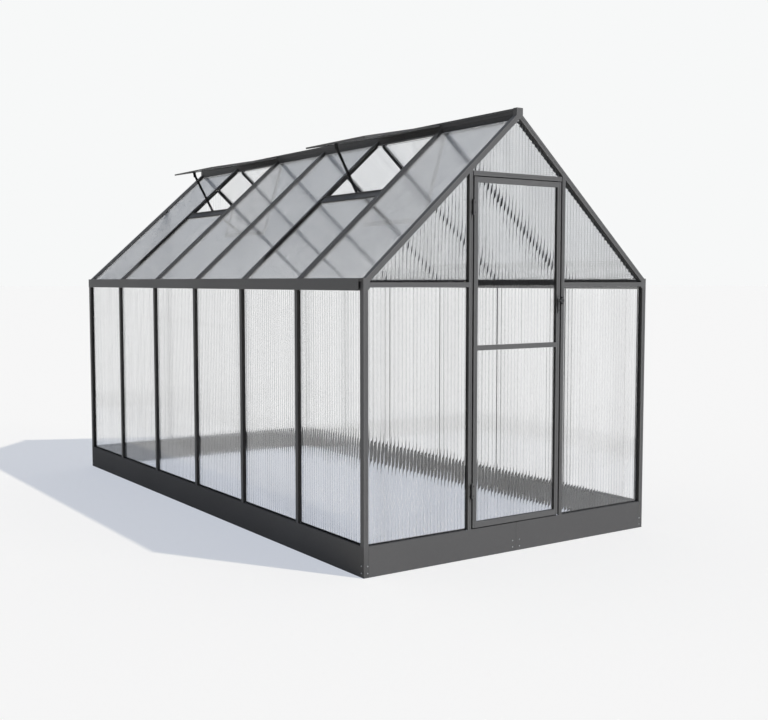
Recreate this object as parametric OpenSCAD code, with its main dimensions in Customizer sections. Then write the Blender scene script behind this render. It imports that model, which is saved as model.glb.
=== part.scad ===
// Greenhouse with twin-wall polycarbonate sheets in an aluminium frame on a steel base.
// X runs across the door gable, Y runs from the door gable to the back, Z is up.
// The origin is on the ground, in the middle of the footprint.

/* [House] */
// Width over the side walls
house_w = 1850; // [1500:10:2400]
// Number of sheet bays in each long side
bays = 6; // [3:1:8]
// Length of one bay, centre to centre of its bars
bay = 610; // [500:5:700]
// How much longer the first and the last bay are
end_more = 8; // [0:1:20]
// Height of the base
base_h = 146; // [100:1:200]
// Height of the eaves, at the outer face of the side walls
eave_h = 1368; // [1200:1:1700]
// Height of the ridge
ridge_h = 2220; // [2100:1:2500]

/* [Door] */
// Clear width between the door posts
door_clear = 578; // [520:1:700]
// Underside of the door head
head_z = 1874; // [1800:1:1900]
// Top of the door's middle rail
mid_rail_z = 1052; // [800:1:1200]
// Gap round the door leaf
door_gap = 5; // [5:0.5:8]

/* [Roof windows] */
// Bays that have a roof window in the left slope, counted from the door gable
window_bays = [2, 5]; // [1:1:8]
// Length of a roof window, from its hinge to its lower edge
window_l = 494; // [400:1:560]
// Slope of an open roof window, below level
window_tilt = 11; // [0:1:30]

/* [Frame] */
// Face width of a glazing bar
bar_w = 25; // [20:1:32]
// Face width of a post, corner post or gable rafter
post_w = 26; // [22:1:34]
// Width of a corner post's or rafter's other face, on the long side
side_w = 30; // [26:1:36]
// Face width of a gable cross bar
cross_w = 23; // [18:1:30]
// Depth of the gables' posts and cross bars from their outer face inwards
frame_d = 34; // [30:1:45]
// Depth of the glazing bars of the walls and roof
bar_d = 27; // [25:1:45]
// Depth of the corner posts and rafters
edge_d = 46; // [34:1:60]
// How far the sheets lie behind the outer face
setback = 14; // [10:1:18]
// Sheet thickness
sheet_t = 4; // [4:1:6]

/* [Hidden] */
$fn = 48;

frame_colour = "#5a5c5e";
base_colour = "#55575a";
fitting_colour = "#2c2d2f";
sheet_colour = [0.86, 0.88, 0.90, 0.5];

// Overlap that makes a cut pass right through
cut = 1;
// Clearance that leaves two pieces of one body apart
seam = 1;

house_l = bays * bay + 2 * end_more;
half_w = house_w / 2;
half_l = house_l / 2;

// Roof plane: from the eaves up to an apex just under the ridge's crest
crest_h = 19;
apex_h = ridge_h - crest_h;
roof_tan = (apex_h - eave_h) / half_w;
roof_a = atan(roof_tan);
roof_l = half_w / cos(roof_a);

// Section of a bar: web between the sheets, lip behind them, fin with a bulb
web_t = 4;
lip_t = 2.5;
lip_d = setback + sheet_t;
core_d = lip_d + lip_t;
fin_t = 3;
bulb_w = 9;
bulb_t = 3;
groove_w = 2;
groove_d = 0.8;

// Base: a folded steel channel with a web and two flanges, the upper one below its top edge
base_t = 2;
base_flange = 36;
base_return = 27;
base_step = 10;
seat_z = base_h - base_step;

// Gutter, beside and below the eaves
gutter_bottom = 1323;
gutter_top = 1380;
gutter_proud = 11;
gutter_wall = 2;
gutter_lip = 16;
gutter_leg = 8;
gutter_floor = 3;

// Bracket between a corner post and a rafter
bracket_w = 36;
bracket_chamfer = 12;

// Ridge beam, a little lower than the caps at its ends
ridge_half = 20;
ridge_drop = 2;
ridge_d = 57;
ridge_cap_l = 28;
ridge_groove = 3;
ridge_grooves = [12, 30];
ridge_groove_w = 8;
cap_toe_x = ridge_half - post_w * sin(roof_a);
cap_toe_z = apex_h - ridge_half * roof_tan - post_w * cos(roof_a);

// Gable cross bars at the eaves
cross_bottom = 1337;
post_x = door_clear / 2;
rail_front_h = 10;
rail_back_h = 17;
rail_t = 2;

// How far the roof sheets start above the eaves and end below the apex, clear of the ridge
eave_lap = 10;
ridge_lap = (ridge_half + seam + lip_d * sin(roof_a)) / cos(roof_a);

// Roof window: a light frame, hinged on the ridge's crest
window_in = 3;
window_frame_w = 24;
window_frame_t = 9;
window_hinge_x = 24;
window_hinge_z = 2209;
sill_from = 670;
sill_l = 46;
sill_out = 6;
sill_lip = 4;
sill_back = 22;
sill_lap = 18;
window_lap = 8;

// Stay of a roof window: a strap in the middle of the bay, pinned to two ears
stay_w = 16;
stay_t = 3;
stay_pin_r = 3;
stay_ear_w = 20;
stay_ear_drop = 28;
stay_ear_end = 8;
stay_foot_in = 18;
stay_foot_deep = 40;

// Door leaf
leaf_half = post_x - door_gap;
leaf_bottom = base_h + door_gap;
leaf_top = head_z - door_gap;
leaf_d = 20;
stile_w = 24;
top_rail_w = 26;
mid_rail_w = 24;
bottom_rail_w = 29;
leaf_sheet_at = 8;
leaf_lap = 8;

// Hinges of the door, left of the leaf and proud of its face
pin_x = -297;
pin_y = -half_l - 6;
pin_r = 2.5;
knuckle_r = 4.5;
pin_fit = 0.3;
hinge_l = 75;
post_wing_w = 12;
door_wing_w = 24;
wing_t = 1.2;
hinge_mids = [336, 1722];

// Rebate in the door posts' faces, and stops behind the leaf
door_rebate = 5;
stop_clear = 6;
stop_t = 2.5;
stop_in = 12;

// Latch and handle
latch_z = 1267;
latch_x = leaf_half - stile_w / 2;
plate_w = 18;
plate_h = 60;
plate_t = 3;
spindle_r = 4;
bolt_h = 14;
bolt_t = 6;
bolt_lift = 4;
bolt_tip = 303;
keeper_x = 290;
keeper_w = 9;
keeper_h = 38;
keeper_t = 1.5;
keeper_out = 13;
keeper_lug_z = 16;
lug_t = 6;

// Lever: an arm from the spindle to an upright grip, and a finger hook near its lower end
lever_out = 17;
lever_r = 3.5;
lever_arm = 18;
lever_up = 8;
lever_down = 62;
hook_z = 50;
hook_l = 12;

// Height of the roof plane at a distance x from the middle, lowered square to it by w
function roof_z(x, w = 0) = apex_h - x * roof_tan - w / cos(roof_a);

// A half outline given as [across, deep] points, mirrored into a whole outline
function both_sides(half) =
    concat(half, [for (i = [len(half) - 1 : -1 : 0]) [-half[i].x, half[i].y]]);

// Outline of a bar with a face width of w and a depth of d: X across, Y inwards from its face
function bar_outline(w, d) = both_sides([
    [groove_w / 2, groove_d], [groove_w / 2, 0], [w / 2, 0], [w / 2, setback],
    [web_t / 2, setback], [web_t / 2, lip_d], [w / 2, lip_d], [w / 2, lip_d + lip_t],
    [fin_t / 2, lip_d + lip_t], [fin_t / 2, d - bulb_t],
    [bulb_w / 2, d - bulb_t], [bulb_w / 2, d]]);

// Outline of an edge member, where two walls of sheets meet: X along its gable face
edge_outline = [
    [0, 0], [post_w / 2 - groove_w / 2, 0], [post_w / 2 - groove_w / 2, groove_d],
    [post_w / 2 + groove_w / 2, groove_d], [post_w / 2 + groove_w / 2, 0],
    [post_w, 0], [post_w, setback], [core_d, setback], [core_d, lip_d],
    [post_w, lip_d], [post_w, core_d], [core_d, core_d], [core_d, edge_d],
    [lip_d, edge_d], [lip_d, core_d], [setback, core_d], [setback, side_w], [0, side_w]];

// Stands an outline up: its X stays X, its Y runs back, and it rises from z0 to z1
module upright(z0, z1) {
    translate([0, 0, z0]) linear_extrude(z1 - z0) children();
}

// Lays an outline of [X, Z] points along Y, from y0 to y1
module along_y(y0, y1) {
    translate([0, y1, 0]) rotate([90, 0, 0]) linear_extrude(y1 - y0) children();
}

// Puts its children on the left slope: X up the slope from the eaves, Y to the back, Z out
module on_left_slope() {
    translate([-half_w, 0, eave_h]) rotate([0, -roof_a, 0]) children();
}

module mirror_x(yes = true) {
    mirror([yes ? 1 : 0, 0, 0]) children();
}

module mirror_y(yes = true) {
    mirror([0, yes ? 1 : 0, 0]) children();
}

// Y of the centre of bar number k, counted from the door gable
function bar_y(k) = -half_l + end_more + k * bay;

// Clear gap in a sheet's plane between an edge member or bar and the sheet's edge
function sheet_y0(k) = k == 1 ? -half_l + core_d : bar_y(k - 1) + web_t / 2;
function sheet_y1(k) = k == bays ? half_l - core_d : bar_y(k) - web_t / 2;
function has_window(k) = len([for (b = window_bays) if (b == k) b]) > 0;

// ---- base ----

module base_half() {
    // Left half of the front plinth: a web with a flange at its top and bottom
    translate([-half_w + base_return + seam, -half_l, 0]) {
        length = half_w - base_return - seam - seam / 2;
        cube([length, base_t, base_h]);
        translate([0, 0, seat_z - base_t]) cube([length, base_flange, base_t]);
        cube([length, base_flange, base_t]);
    }
}

module base_front() {
    color(base_colour) {
        base_half();
        mirror_x() base_half();
    }
}

module base_back() {
    color(base_colour) mirror_y() {
        base_half();
        mirror_x() base_half();
    }
}

module base_side() {
    // Left plinth, with a return at each end that wraps round the corner
    inside = house_l - 2 * base_flange - 2 * seam;
    color(base_colour) {
        translate([-half_w, -half_l, 0]) cube([base_t, house_l, base_h]);
        for (z = [0, seat_z - base_t])
            translate([-half_w, -inside / 2, z]) cube([base_flange, inside, base_t]);
        for (y = [-half_l, half_l - base_t])
            translate([-half_w, y, 0]) cube([base_return, base_t, base_h]);
    }
}

module base_left() {
    base_side();
}

module base_right() {
    mirror_x() base_side();
}

module base_joiners() {
    // Plates behind the seams in the middle of the two end plinths
    plate_l = 120;
    color(base_colour) for (y = [-half_l + base_t, half_l - 2 * base_t])
        translate([-plate_l / 2, y, base_t]) cube([plate_l, base_t, seat_z - 2 * base_t]);
}

// ---- rails that hold the lower edges of the wall sheets ----

module rail_outline() {
    slot = setback - rail_t;
    back = lip_d + rail_t;
    polygon([[slot, 0], [back, 0], [back, rail_back_h], [lip_d, rail_back_h], [lip_d, rail_t],
        [setback, rail_t], [setback, rail_front_h], [slot, rail_front_h]]);
}

module side_rail(k) {
    y0 = k == 1 ? -half_l + edge_d : bar_y(k - 1) + bar_w / 2;
    y1 = k == bays ? half_l - edge_d : bar_y(k) - bar_w / 2;
    translate([-half_w, 0, seat_z]) along_y(y0, y1) rail_outline();
}

module gable_rail(x0, x1) {
    // Rail on the door gable from x0 to x1
    translate([x1, -half_l, seat_z]) rotate([0, -90, 0]) linear_extrude(x1 - x0)
        mirror([1, -1, 0]) rail_outline();
}

module bottom_rails() {
    color(frame_colour) {
        for (k = [1 : bays]) {
            side_rail(k);
            mirror_x() side_rail(k);
        }
        for (front = [true, false], left = [true, false])
            mirror_y(!front) mirror_x(!left) gable_rail(-half_w + post_w, -post_x - post_w);
        mirror_y() gable_rail(-post_x, post_x);
    }
}

// ---- corner posts and gables ----

module corner_post() {
    color(frame_colour) upright(base_h, gutter_bottom)
        translate([-half_w, -half_l]) polygon(edge_outline);
}

module corner_post_front_left() {
    corner_post();
}

module corner_post_front_right() {
    mirror_x() corner_post();
}

module corner_post_back_left() {
    mirror_y() corner_post();
}

module corner_post_back_right() {
    mirror_x() mirror_y() corner_post();
}

module eave_bracket() {
    // Front plate, and a side plate that turns up into a top plate
    end_x = half_w - bracket_w;
    side_x = half_w - setback;
    shoulder_x = (apex_h - gutter_top) / roof_tan;
    along_y(-half_l, -half_l + setback)
        polygon([[-half_w, gutter_bottom], [-end_x - bracket_chamfer, gutter_bottom],
            [-end_x, gutter_bottom + bracket_chamfer], [-end_x, roof_z(end_x)],
            [-shoulder_x, gutter_top], [-half_w, gutter_top]]);
    along_y(-half_l, -half_l + post_w)
        polygon([[-half_w, gutter_bottom], [-side_x, gutter_bottom],
            [-side_x, roof_z(side_x, setback)], [-end_x, roof_z(end_x, setback)],
            [-end_x, roof_z(end_x)], [-shoulder_x, gutter_top], [-half_w, gutter_top]]);
}

module eave_brackets() {
    color(frame_colour) for (front = [true, false], left = [true, false])
        mirror_y(!front) mirror_x(!left) eave_bracket();
}

module gable_rafter() {
    // Edge member up the left slope, cut off upright at the bracket, square at the top cap
    // and clear of the ridge beam
    foot = bracket_w / cos(roof_a);
    top = roof_l - ridge_half / cos(roof_a);
    color(frame_colour) difference() {
        on_left_slope() translate([0, -half_l, 0]) rotate([0, 90, 0]) linear_extrude(top)
            polygon(edge_outline);
        translate([-half_w - bar_w, -half_l - cut, eave_h - bay])
            cube([bar_w + bracket_w, edge_d + 2 * cut, bay + foot + post_w]);
        translate([-ridge_half - seam, -half_l + ridge_cap_l, 0]) cube([bay, bay, ridge_h]);
    }
}

module rafter_front_left() {
    gable_rafter();
}

module rafter_front_right() {
    mirror_x() gable_rafter();
}

module rafter_back_left() {
    mirror_y() gable_rafter();
}

module rafter_back_right() {
    mirror_x() mirror_y() gable_rafter();
}

module cross_bar(x0, x1, z) {
    // Level bar in the door gable, its lower edge at z
    translate([x0, -half_l, z + cross_w / 2]) rotate([0, 90, 0]) linear_extrude(x1 - x0)
        polygon(bar_outline(cross_w, frame_d));
}

module front_cross_bars() {
    color(frame_colour) {
        cross_bar(-half_w + bracket_w, -post_x - post_w, cross_bottom);
        cross_bar(post_x + post_w, half_w - bracket_w, cross_bottom);
        cross_bar(-post_x, post_x, head_z);
    }
}

module back_cross_bars() {
    color(frame_colour) mirror_y() {
        cross_bar(-half_w + bracket_w, -post_x - post_w, cross_bottom);
        cross_bar(-post_x, post_x, cross_bottom);
        cross_bar(post_x + post_w, half_w - bracket_w, cross_bottom);
    }
}

module gable_post(outline) {
    // Post left of the middle, from the base up to the underside of the rafter
    color(frame_colour) difference() {
        translate([-post_x - post_w / 2, -half_l, 0]) upright(base_h, apex_h) polygon(outline);
        along_y(-half_l - cut, -half_l + frame_d + cut)
            polygon([[-half_w, roof_z(half_w, post_w)], [0, roof_z(0, post_w)],
                [0, ridge_h], [-half_w, ridge_h]]);
    }
}

// Outline of a door post: a bar whose face stops short on the door's side
door_post_outline = [for (p = bar_outline(post_w, frame_d))
    p.x == post_w / 2 && p.y <= setback ? [p.x - door_rebate, p.y] : p];

module door_post_left() {
    gable_post(door_post_outline);
}

module door_post_right() {
    mirror_x() gable_post(door_post_outline);
}

module door_stops() {
    // Strips behind all four edges of the leaf, joined to the fins of the posts and of the head
    side_x = post_x + (post_w - fin_t) / 2;
    tip_x = post_x - stop_in;
    tip_z = head_z - stop_in;
    color(frame_colour) translate([0, -half_l + leaf_d + stop_clear, 0]) {
        for (left = [true, false]) mirror_x(!left)
            translate([-side_x, 0, seat_z]) cube([side_x - tip_x, stop_t, tip_z - seat_z]);
        translate([-tip_x, 0, seat_z]) cube([2 * tip_x, stop_t, base_h + stop_in - seat_z]);
        translate([-post_x, 0, tip_z])
            cube([2 * post_x, stop_t, head_z + (cross_w - fin_t) / 2 - tip_z]);
    }
}

module back_studs() {
    mirror_y() {
        gable_post(bar_outline(post_w, frame_d));
        mirror_x() gable_post(bar_outline(post_w, frame_d));
    }
}

// ---- gutters and ridge ----

module gutter() {
    inner = half_w - frame_d;
    outer = half_w + gutter_proud;
    sheet_out = half_w - setback;
    floor_z = gutter_bottom + gutter_leg;
    rest = lip_d + seam / 2;
    channel_half = half_l - post_w;
    // Channel between the brackets, with the slot for the wall sheets under its floor
    along_y(-channel_half, channel_half) polygon([
        [-outer, gutter_bottom], [-outer + gutter_wall, gutter_bottom],
        [-outer + gutter_wall, floor_z], [-sheet_out - rail_t, floor_z],
        [-sheet_out - rail_t, gutter_bottom], [-sheet_out, gutter_bottom],
        [-sheet_out, floor_z], [-sheet_out + sheet_t, floor_z],
        [-sheet_out + sheet_t, gutter_bottom], [-inner, gutter_bottom],
        [-inner, roof_z(inner, rest)],
        [-inner - gutter_wall, roof_z(inner + gutter_wall, rest)],
        [-inner - gutter_wall, floor_z + gutter_floor],
        [-outer + gutter_wall, floor_z + gutter_floor],
        [-outer + gutter_wall, gutter_top], [-outer, gutter_top]]);
    // Wedge that closes the end of the lip onto each bracket
    for (front = [true, false]) mirror_y(!front)
        upright(gutter_top - gutter_lip, gutter_top)
            polygon([[-outer, -channel_half + seam], [-outer, -channel_half],
                [-half_w, -half_l], [-half_w, -channel_half],
                [-outer + gutter_wall, -channel_half + seam]]);
}

module gutter_left() {
    color(frame_colour) gutter();
}

module gutter_right() {
    color(frame_colour) mirror_x() gutter();
}

module ridge_beam() {
    // Block with two grooves along each side
    top = ridge_h - ridge_drop;
    side = [for (deep = ridge_grooves) each [[ridge_half, top - deep],
        [ridge_half - ridge_groove, top - deep],
        [ridge_half - ridge_groove, top - deep - ridge_groove_w],
        [ridge_half, top - deep - ridge_groove_w]]];
    color(frame_colour) along_y(-half_l + ridge_cap_l, half_l - ridge_cap_l)
        polygon(both_sides(concat([[ridge_half, top]], side, [[ridge_half, ridge_h - ridge_d]])));
}

module ridge_cap() {
    // Block that closes the front end of the ridge and joins the tops of two rafters
    along_y(-half_l, -half_l + ridge_cap_l)
        polygon(both_sides([[ridge_half, ridge_h], [ridge_half, roof_z(ridge_half)],
            [cap_toe_x, cap_toe_z]]));
}

module ridge_caps() {
    color(frame_colour) {
        ridge_cap();
        mirror_y() ridge_cap();
    }
}

// ---- glazing bars ----

module wall_bars() {
    color(frame_colour) for (k = [1 : bays - 1])
        translate([-half_w, bar_y(k), 0]) upright(base_h, gutter_bottom)
            rotate(-90) polygon(bar_outline(bar_w, bar_d));
}

module left_wall_bars() {
    wall_bars();
}

module right_wall_bars() {
    mirror_x() wall_bars();
}

module roof_bar() {
    // Cap from the eaves to the ridge, fin from the gutter to the ridge
    fin_from = 32;
    difference() {
        on_left_slope() rotate([0, 90, 0]) linear_extrude(roof_l) rotate(-90)
            polygon(bar_outline(bar_w, bar_d));
        translate([-ridge_half, -bar_w, 0]) cube([bay, 2 * bar_w, ridge_h]);
        on_left_slope() translate([-bay, -bar_w, -bay])
            cube([bay + fin_from, 2 * bar_w, bay - lip_d]);
    }
}

module roof_bars() {
    color(frame_colour) for (k = [1 : bays - 1])
        translate([0, bar_y(k), 0]) roof_bar();
}

module left_roof_bars() {
    roof_bars();
}

module right_roof_bars() {
    mirror_x() roof_bars();
}

// ---- sheets ----

module wall_sheets() {
    bottom = seat_z + rail_t;
    top = gutter_bottom + gutter_leg;
    color(sheet_colour) for (k = [1 : bays])
        translate([-half_w + setback, sheet_y0(k), bottom])
            cube([sheet_t, sheet_y1(k) - sheet_y0(k), top - bottom]);
}

module left_wall_sheets() {
    wall_sheets();
}

module right_wall_sheets() {
    mirror_x() wall_sheets();
}

module roof_sheet(k, from, to) {
    on_left_slope() translate([from, sheet_y0(k), -lip_d])
        cube([to - from, sheet_y1(k) - sheet_y0(k), sheet_t]);
}

module left_roof_sheets() {
    color(sheet_colour) for (k = [1 : bays])
        roof_sheet(k, eave_lap, has_window(k) ? sill_from + sill_lap : roof_l - ridge_lap);
}

module right_roof_sheets() {
    color(sheet_colour) mirror_x() for (k = [1 : bays])
        roof_sheet(k, eave_lap, roof_l - ridge_lap);
}

module lower_gable_sheet(x0, x1) {
    bottom = seat_z + rail_t;
    translate([x0, -half_l + setback, bottom])
        cube([x1 - x0, sheet_t, cross_bottom + cross_w / 2 - web_t / 2 - bottom]);
}

module upper_gable_sheet(points) {
    along_y(-half_l + setback, -half_l + lip_d) polygon(points);
}

module gable_side_sheets() {
    // Sheets left of the middle: one below the cross bar, one between it and the rafter
    outer = half_w - core_d;
    inner = post_x + post_w / 2 + web_t / 2;
    low = cross_bottom + cross_w / 2 + web_t / 2;
    lower_gable_sheet(-outer, -inner);
    upper_gable_sheet([[-outer, low], [-inner, low], [-inner, roof_z(inner, core_d)],
        [-outer, roof_z(outer, core_d)]]);
}

module gable_top_sheet(low) {
    // Sheet between the middle posts, from low up to the ridge cap's toe
    side = post_x + post_w / 2 - web_t / 2;
    top_x = (apex_h - cap_toe_z - core_d / cos(roof_a)) / roof_tan;
    upper_gable_sheet([[-side, low], [side, low], [side, roof_z(side, core_d)],
        [top_x, cap_toe_z], [-top_x, cap_toe_z], [-side, roof_z(side, core_d)]]);
}

module front_sheets() {
    color(sheet_colour) {
        gable_side_sheets();
        mirror_x() gable_side_sheets();
        gable_top_sheet(head_z + cross_w / 2 + web_t / 2);
    }
}

module back_sheets() {
    inner = post_x + post_w / 2 - web_t / 2;
    color(sheet_colour) mirror_y() {
        gable_side_sheets();
        mirror_x() gable_side_sheets();
        lower_gable_sheet(-inner, inner);
        gable_top_sheet(cross_bottom + cross_w / 2 + web_t / 2);
    }
}

// ---- roof windows ----

module window_sill(k) {
    // Bar across a bay of the left slope: the sheet tucks into its lower edge
    sill_to = sill_from + sill_l;
    on_left_slope() translate([0, bar_y(k) - bar_w / 2, 0]) rotate([90, 0, 0])
        linear_extrude(bay - bar_w) polygon([
            [sill_from, -setback], [sill_from, -sill_out], [sill_to - sill_lip, -sill_out],
            [sill_to - sill_lip, 0], [sill_to, 0], [sill_to, -sill_back],
            [sill_from + sill_out, -sill_back], [sill_from + sill_out, -lip_d],
            [sill_from + sill_lap, -lip_d], [sill_from + sill_lap, -setback]]);
}

module window_sills() {
    color(frame_colour) for (k = window_bays) window_sill(k);
}

// Puts its children on an open roof window: X from its hinge outwards, Y along it, Z up
module on_window(k) {
    translate([-window_hinge_x, bar_y(k) - bay / 2, window_hinge_z])
        mirror_x() rotate([0, window_tilt, 0]) children();
}

module window_frame() {
    wide = bay - 2 * window_in;
    inner = wide - 2 * window_frame_w;
    difference() {
        translate([0, -wide / 2, -window_frame_t]) cube([window_l, wide, window_frame_t]);
        translate([window_frame_w, -inner / 2, -window_frame_t - cut])
            cube([window_l - 2 * window_frame_w, inner, window_frame_t + 2 * cut]);
        window_sheet_space();
    }
}

// Space that the sheet takes, with its edges in the frame's groove
module window_sheet_space() {
    wide = bay - 2 * window_in - 2 * window_frame_w + 2 * window_lap;
    translate([window_frame_w - window_lap, -wide / 2, -(window_frame_t + sheet_t) / 2])
        cube([window_l - 2 * window_frame_w + 2 * window_lap, wide, sheet_t]);
}

module window_frames() {
    color(frame_colour) for (k = window_bays) on_window(k) window_frame();
}

module window_sheets() {
    color(sheet_colour) for (k = window_bays) on_window(k) window_sheet_space();
}

// A point of the left slope, given along the slope and square into it, as [X, Z]
function slope_point(along, deep) = [-half_w + along * cos(roof_a) + deep * sin(roof_a),
    eave_h + along * sin(roof_a) - deep * cos(roof_a)];

// A point of an open window's section, given from its hinge outwards and up, as [X, Z]
function window_point(out, up) =
    [-window_hinge_x - out * cos(window_tilt) - up * sin(window_tilt),
    window_hinge_z - out * sin(window_tilt) + up * cos(window_tilt)];

module window_stay(k) {
    // Strap from an ear under the window's lower rail to an ear behind the sill
    mid_y = bar_y(k) - bay / 2;
    near = mid_y - stay_t / 2;
    far = mid_y + stay_t / 2;
    head_at = window_l - window_frame_w / 2;
    ear_end = stay_ear_drop + stay_ear_end;
    sill_end = sill_from + sill_l;
    foot_at = sill_end + stay_foot_in;
    head = window_point(head_at, -window_frame_t - stay_ear_drop);
    foot = slope_point(foot_at, stay_foot_deep);
    d = foot - head;
    // The strap, with the corners of its ends cut off
    along_y(near, far) translate(head) rotate(atan2(d.y, d.x))
        polygon([[-stay_w / 2, -stay_w / 4], [-stay_w / 4, -stay_w / 2],
            [norm(d) + stay_w / 4, -stay_w / 2], [norm(d) + stay_w / 2, -stay_w / 4],
            [norm(d) + stay_w / 2, stay_w / 4], [norm(d) + stay_w / 4, stay_w / 2],
            [-stay_w / 4, stay_w / 2], [-stay_w / 2, stay_w / 4]]);
    // Ears beside it, and the pins through all three
    on_window(k) translate([head_at - stay_ear_w / 2, stay_t / 2, -window_frame_t - ear_end])
        cube([stay_ear_w, stay_t, ear_end]);
    along_y(far, far + stay_t) polygon([slope_point(sill_from + sill_out, sill_back),
        slope_point(sill_end, sill_back), slope_point(foot_at + stay_ear_end, stay_foot_deep),
        slope_point(foot_at, stay_foot_deep + stay_ear_end),
        slope_point(foot_at - stay_ear_end, stay_foot_deep + stay_ear_end)]);
    for (p = [head, foot]) along_y(near - stay_t, far + 2 * stay_t)
        translate(p) circle(r = stay_pin_r);
}

module window_stays() {
    color(fitting_colour) for (k = window_bays) window_stay(k);
}

// ---- door ----

module leaf_stile() {
    // Left stile: a grooved face and a slot for the sheets
    middle = stile_w / 2;
    upright(leaf_bottom, leaf_top) translate([-leaf_half, -half_l]) polygon([
        [0, 0], [middle - groove_w / 2, 0], [middle - groove_w / 2, groove_d],
        [middle + groove_w / 2, groove_d], [middle + groove_w / 2, 0], [stile_w, 0],
        [stile_w, leaf_sheet_at], [stile_w - leaf_lap, leaf_sheet_at],
        [stile_w - leaf_lap, leaf_sheet_at + sheet_t], [stile_w, leaf_sheet_at + sheet_t],
        [stile_w, leaf_d], [0, leaf_d]]);
}

module door_stiles() {
    color(frame_colour) {
        leaf_stile();
        mirror_x() leaf_stile();
    }
}

// Level rail of the door leaf between z0 and z1, with slots for the sheets it meets
module leaf_rail(z0, z1, slot_below, slot_above) {
    length = 2 * (leaf_half - stile_w);
    difference() {
        translate([-length / 2, -half_l, z0]) cube([length, leaf_d, z1 - z0]);
        if (slot_below) translate([-length / 2 - cut, -half_l + leaf_sheet_at, z0 - cut])
            cube([length + 2 * cut, sheet_t, leaf_lap + cut]);
        if (slot_above) translate([-length / 2 - cut, -half_l + leaf_sheet_at, z1 - leaf_lap])
            cube([length + 2 * cut, sheet_t, leaf_lap + cut]);
    }
}

module door_rails() {
    color(frame_colour) {
        leaf_rail(leaf_bottom, leaf_bottom + bottom_rail_w, false, true);
        leaf_rail(mid_rail_z - mid_rail_w, mid_rail_z, true, true);
        leaf_rail(leaf_top - top_rail_w, leaf_top, true, false);
    }
}

module leaf_sheet(z0, z1) {
    half = leaf_half - stile_w + leaf_lap;
    translate([-half, -half_l + leaf_sheet_at, z0 - leaf_lap])
        cube([2 * half, sheet_t, z1 - z0 + 2 * leaf_lap]);
}

module door_sheets() {
    color(sheet_colour) {
        leaf_sheet(leaf_bottom + bottom_rail_w, mid_rail_z - mid_rail_w);
        leaf_sheet(mid_rail_z, leaf_top - top_rail_w);
    }
}

// A part of a hinge knuckle: a round barrel, joined by a foot to a leaf on the frame's face
module knuckle(z0, z1) {
    wing_y = -half_l - wing_t;
    translate([pin_x, pin_y, z0]) cylinder(r = knuckle_r, h = z1 - z0);
    translate([pin_x, pin_y, z0]) cube([knuckle_r, wing_y - pin_y, z1 - z0]);
}

module door_hinge_leaves() {
    // Leaf on the door's stile with the middle knuckle, bored for the pin
    color(fitting_colour) for (z = hinge_mids) {
        z0 = z - hinge_l / 6 + pin_fit;
        z1 = z + hinge_l / 6 - pin_fit;
        difference() {
            union() {
                knuckle(z0, z1);
                translate([pin_x + knuckle_r / 2, -half_l - wing_t, z - hinge_l / 2])
                    cube([door_wing_w, wing_t, hinge_l]);
            }
            translate([pin_x, pin_y, z0 - cut])
                cylinder(r = pin_r + pin_fit, h = z1 - z0 + 2 * cut);
        }
    }
}

module post_hinge_leaves() {
    // Leaf on the door post with the two outer knuckles and the pin
    color(fitting_colour) for (z = hinge_mids) {
        translate([pin_x, pin_y, z - hinge_l / 2]) cylinder(r = pin_r, h = hinge_l);
        translate([2 * pin_x, 0, 0]) mirror_x() {
            knuckle(z - hinge_l / 2, z - hinge_l / 6 - pin_fit);
            knuckle(z + hinge_l / 6 + pin_fit, z + hinge_l / 2);
            translate([pin_x + knuckle_r / 2, -half_l - wing_t, z - hinge_l / 2])
                cube([post_wing_w, wing_t, hinge_l]);
        }
    }
}

module door_latch() {
    // Plate on the right stile, bored for the handle's spindle, with a bolt over the gap
    face = -half_l - plate_t;
    bolt_x = latch_x + spindle_r + 2;
    color(fitting_colour) {
        difference() {
            translate([latch_x - plate_w / 2, face, latch_z - plate_h / 2])
                cube([plate_w, plate_t, plate_h]);
            translate([latch_x, -half_l + cut, latch_z]) rotate([90, 0, 0])
                cylinder(r = spindle_r + pin_fit, h = plate_t + 2 * cut);
        }
        translate([bolt_x, face - bolt_lift, latch_z - bolt_h / 2])
            cube([leaf_half - bolt_x, bolt_lift, bolt_h]);
        translate([bolt_x, face - bolt_lift - bolt_t, latch_z - bolt_h / 2])
            cube([bolt_tip - bolt_x, bolt_t, bolt_h]);
    }
}

module latch_keeper() {
    // Plate on the right door post with a lug above and below the bolt
    color(fitting_colour) {
        translate([keeper_x, -half_l - keeper_t, latch_z - keeper_h / 2])
            cube([keeper_w, keeper_t, keeper_h]);
        for (side = [-1, 1])
            translate([keeper_x, -half_l - keeper_out, latch_z + side * keeper_lug_z - lug_t / 2])
                cube([keeper_w, keeper_out, lug_t]);
    }
}

// Round rod with ball ends, from point a to point b in the plane of the lever
module lever_rod(a, b) {
    d = b - a;
    translate([a.x, 0, a.y]) rotate([0, atan2(d.x, d.y), 0]) cylinder(r = lever_r, h = norm(d));
    for (p = [a, b]) translate([p.x, 0, p.y]) sphere(r = lever_r);
}

module door_handle() {
    // Spindle and a round lever that hangs down when the door is shut
    grip_x = latch_x - lever_arm;
    hook = [grip_x, latch_z - hook_z];
    color(fitting_colour) {
        translate([latch_x, -half_l - pin_fit, latch_z]) rotate([90, 0, 0])
            cylinder(r = spindle_r, h = lever_out - pin_fit);
        translate([0, -half_l - lever_out, 0]) {
            lever_rod([latch_x, latch_z], [grip_x, latch_z]);
            lever_rod([grip_x, latch_z + lever_up], [grip_x, latch_z - lever_down]);
            lever_rod(hook, hook + [hook_l, 0]);
        }
    }
}

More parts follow.
